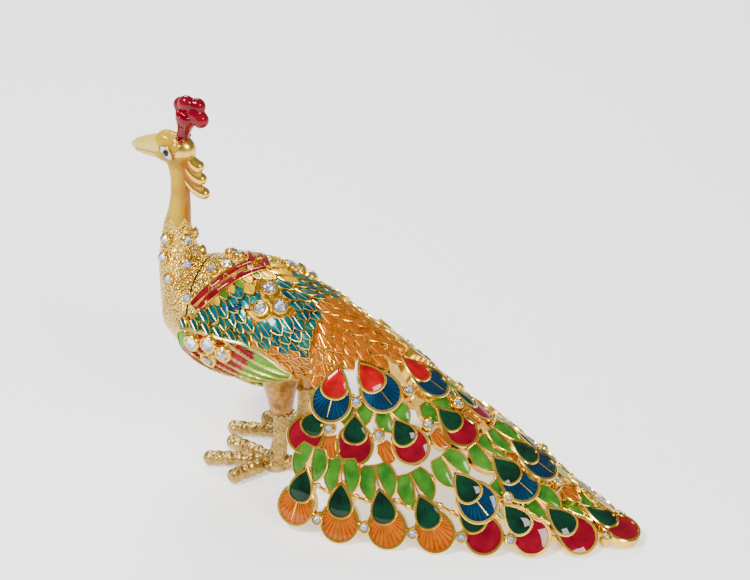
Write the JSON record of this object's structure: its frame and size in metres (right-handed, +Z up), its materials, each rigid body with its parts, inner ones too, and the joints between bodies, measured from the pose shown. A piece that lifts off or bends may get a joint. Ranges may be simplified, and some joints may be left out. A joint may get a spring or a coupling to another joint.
{
  "type": "peacock trinket box",
  "caption": "Gold-plated, enamelled peacock figurine with a pierced trailing train, set with cut stones; its back lifts off as the lid of a small box.",
  "frame": {"origin": "on the ground, under the middle of the whole bird's length, in its middle plane", "axes": "+Z up, -X towards the beak, +X towards the end of the train, +Y to the bird's right"},
  "size_m": [0.1262, 0.0582, 0.0895],
  "materials": {
    "gold_enamel": "polished gold plate with fired enamel in cells",
    "lid_gold_enamel": "grained gold plate with fired enamel feathers",
    "crystal": "cut and polished"
  },
  "bodies": {
    "root": {"body": "gold_enamel", "crystal_lid_far_1": "crystal", "crystal_lid_far_2": "crystal", "crystal_lid_far_3": "crystal", "crystal_lid_far_4": "crystal", "crystal_lid_far_5": "crystal", "crystal_lid_near_1": "crystal", "crystal_lid_near_2": "crystal", "crystal_lid_near_3": "crystal", "crystal_lid_near_4": "crystal", "crystal_lid_near_5": "crystal", "crystal_neck_far_1": "crystal", "crystal_neck_far_2": "crystal", "crystal_neck_far_3": "crystal", "crystal_neck_far_4": "crystal", "crystal_neck_far_5": "crystal", "crystal_neck_far_6": "crystal", "crystal_neck_near_1": "crystal", "crystal_neck_near_2": "crystal", "crystal_neck_near_3": "crystal", "crystal_neck_near_4": "crystal", "crystal_neck_near_5": "crystal", "crystal_neck_near_6": "crystal", "crystal_rim_far_1": "crystal", "crystal_rim_far_2": "crystal", "crystal_rim_far_3": "crystal", "crystal_rim_far_4": "crystal", "crystal_rim_far_5": "crystal", "crystal_rim_far_6": "crystal", "crystal_rim_near_1": "crystal", "crystal_rim_near_2": "crystal", "crystal_rim_near_3": "crystal", "crystal_rim_near_4": "crystal", "crystal_rim_near_5": "crystal", "crystal_rim_near_6": "crystal", "crystal_train_far_2": "crystal", "crystal_train_far_3": "crystal", "crystal_train_far_4": "crystal", "crystal_train_far_6": "crystal", "crystal_train_far_7": "crystal", "crystal_train_far_8": "crystal", "crystal_train_middle_1": "crystal", "crystal_train_middle_5": "crystal", "crystal_train_near_2": "crystal", "crystal_train_near_3": "crystal", "crystal_train_near_4": "crystal", "crystal_train_near_6": "crystal", "crystal_train_near_7": "crystal", "crystal_train_near_8": "crystal", "crystal_wing_far_1": "crystal", "crystal_wing_far_2": "crystal", "crystal_wing_far_3": "crystal", "crystal_wing_far_4": "crystal", "crystal_wing_near_1": "crystal", "crystal_wing_near_2": "crystal", "crystal_wing_near_3": "crystal", "crystal_wing_near_4": "crystal", "lid": "lid_gold_enamel"}
  },
  "joints": []
}
